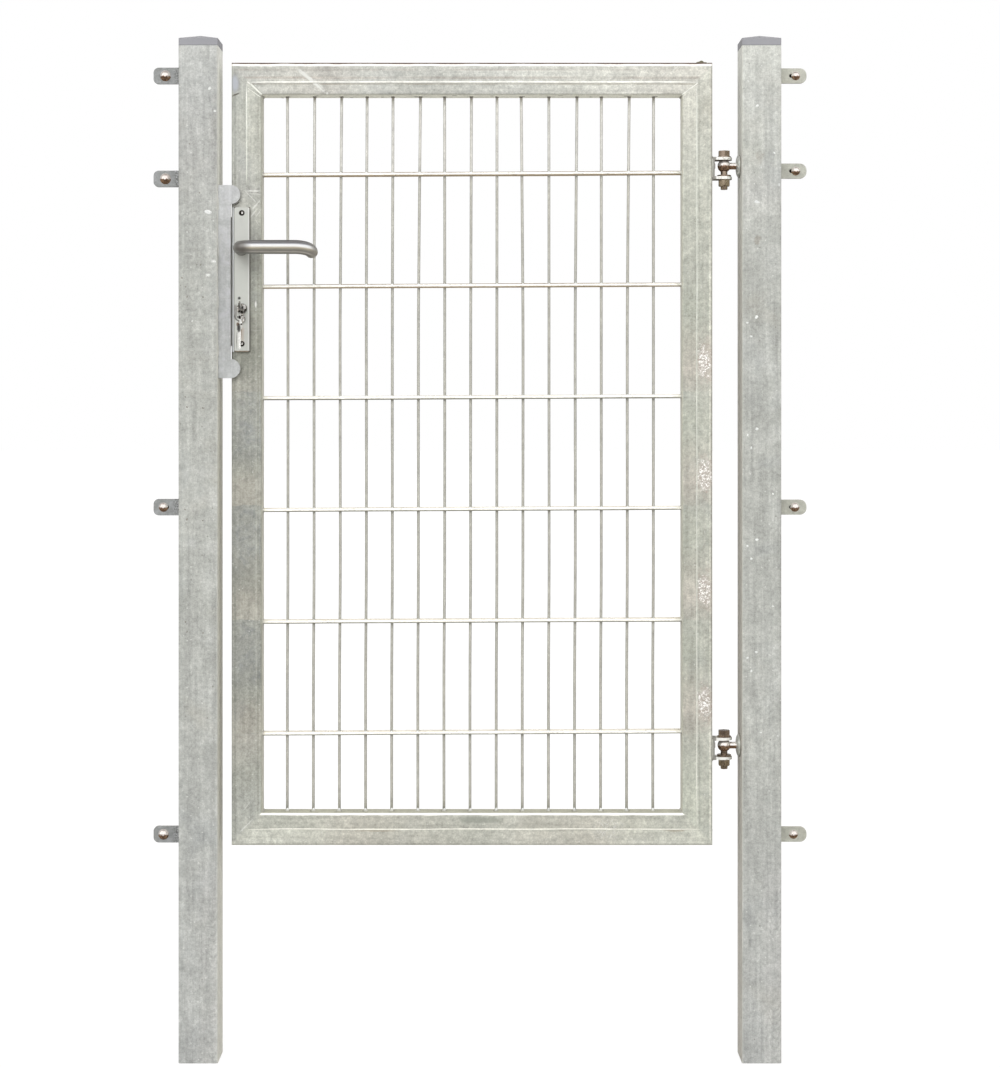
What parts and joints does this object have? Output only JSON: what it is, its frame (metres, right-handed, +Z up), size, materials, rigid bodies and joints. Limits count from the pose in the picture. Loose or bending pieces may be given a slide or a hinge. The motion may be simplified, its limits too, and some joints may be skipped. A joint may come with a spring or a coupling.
{
  "type": "mesh fence gate",
  "caption": "Galvanised single-leaf garden gate: mitred tube frame with double-rod mesh, hung on eye bolts between two square posts, with lever lock and fence lugs.",
  "frame": {"origin": "centre of the hinge post's foot, on its flat lower end", "axes": "+X from the latch post to the hinge post, along the gate; +Y through the gate, the way the leaf opens, away from the side that the picture shows; +Z up"},
  "size_m": [1.17, 0.1678, 1.831],
  "materials": {
    "galvanised": "hot-dip galvanised, mottled matt grey with runs, scratches and small zinc beads",
    "galvanised_mesh": "hot-dip galvanised wire, soft sheen, brown in the crossings",
    "zinc_plate": "zinc-coated plate, satin, slightly blue",
    "bright_steel": "bright zinc-plated steel, glossy",
    "satin_aluminium": "satin anodised",
    "grey_plastic": "moulded plastic, matt grey",
    "nickel_brass": "nickel-plated brass, satin",
    "lock_steel": "plain zinc-plated steel"
  },
  "bodies": {
    "posts": {"latch_post": "galvanised", "hinge_post": "galvanised", "latch_post_cap": "grey_plastic", "hinge_post_cap": "grey_plastic", "latch_post_lugs": "zinc_plate", "hinge_post_lugs": "zinc_plate", "latch_lug_bolts": "bright_steel", "hinge_lug_bolts": "bright_steel", "latch_lug_nuts": "bright_steel", "hinge_lug_nuts": "bright_steel", "stop_plate": "zinc_plate", "upper_eye_bolt": "bright_steel", "lower_eye_bolt": "bright_steel", "upper_eye_flange": "zinc_plate", "lower_eye_flange": "zinc_plate"},
    "leaf": {"latch_stile": "galvanised", "hinge_stile": "galvanised", "top_rail": "galvanised", "bottom_rail": "galvanised", "mesh_panel": "galvanised_mesh", "lock_case": "lock_steel", "front_long_plate": "satin_aluminium", "back_long_plate": "satin_aluminium", "long_plate_screws": "bright_steel", "lock_cylinder": "nickel_brass", "cylinder_plugs": "nickel_brass", "key": "nickel_brass", "key_ring": "lock_steel", "spare_key": "nickel_brass", "upper_hinge_bracket": "zinc_plate", "lower_hinge_bracket": "zinc_plate", "upper_hinge_bolt": "bright_steel", "lower_hinge_bolt": "bright_steel", "upper_hinge_nut": "bright_steel", "lower_hinge_nut": "bright_steel", "back_knob": "satin_aluminium"},
    "lever": {"front_lever": "satin_aluminium", "lever_spindle": "lock_steel"}
  },
  "joints": [
    {"name": "gate_swing", "type": "hinge", "parent": "posts", "child": "leaf", "pos_m": [-0.0631, 0, 0.5597], "axis": [0, 0, -1], "range_deg": [0, 95]},
    {"name": "lever_turn", "type": "hinge", "parent": "leaf", "child": "lever", "pos_m": [-0.9249, 0, 1.4468], "axis": [0, 1, 0], "range_deg": [0, 40], "stiffness_Nm_per_rad": 1.5, "springref_deg": -28.65}
  ]
}
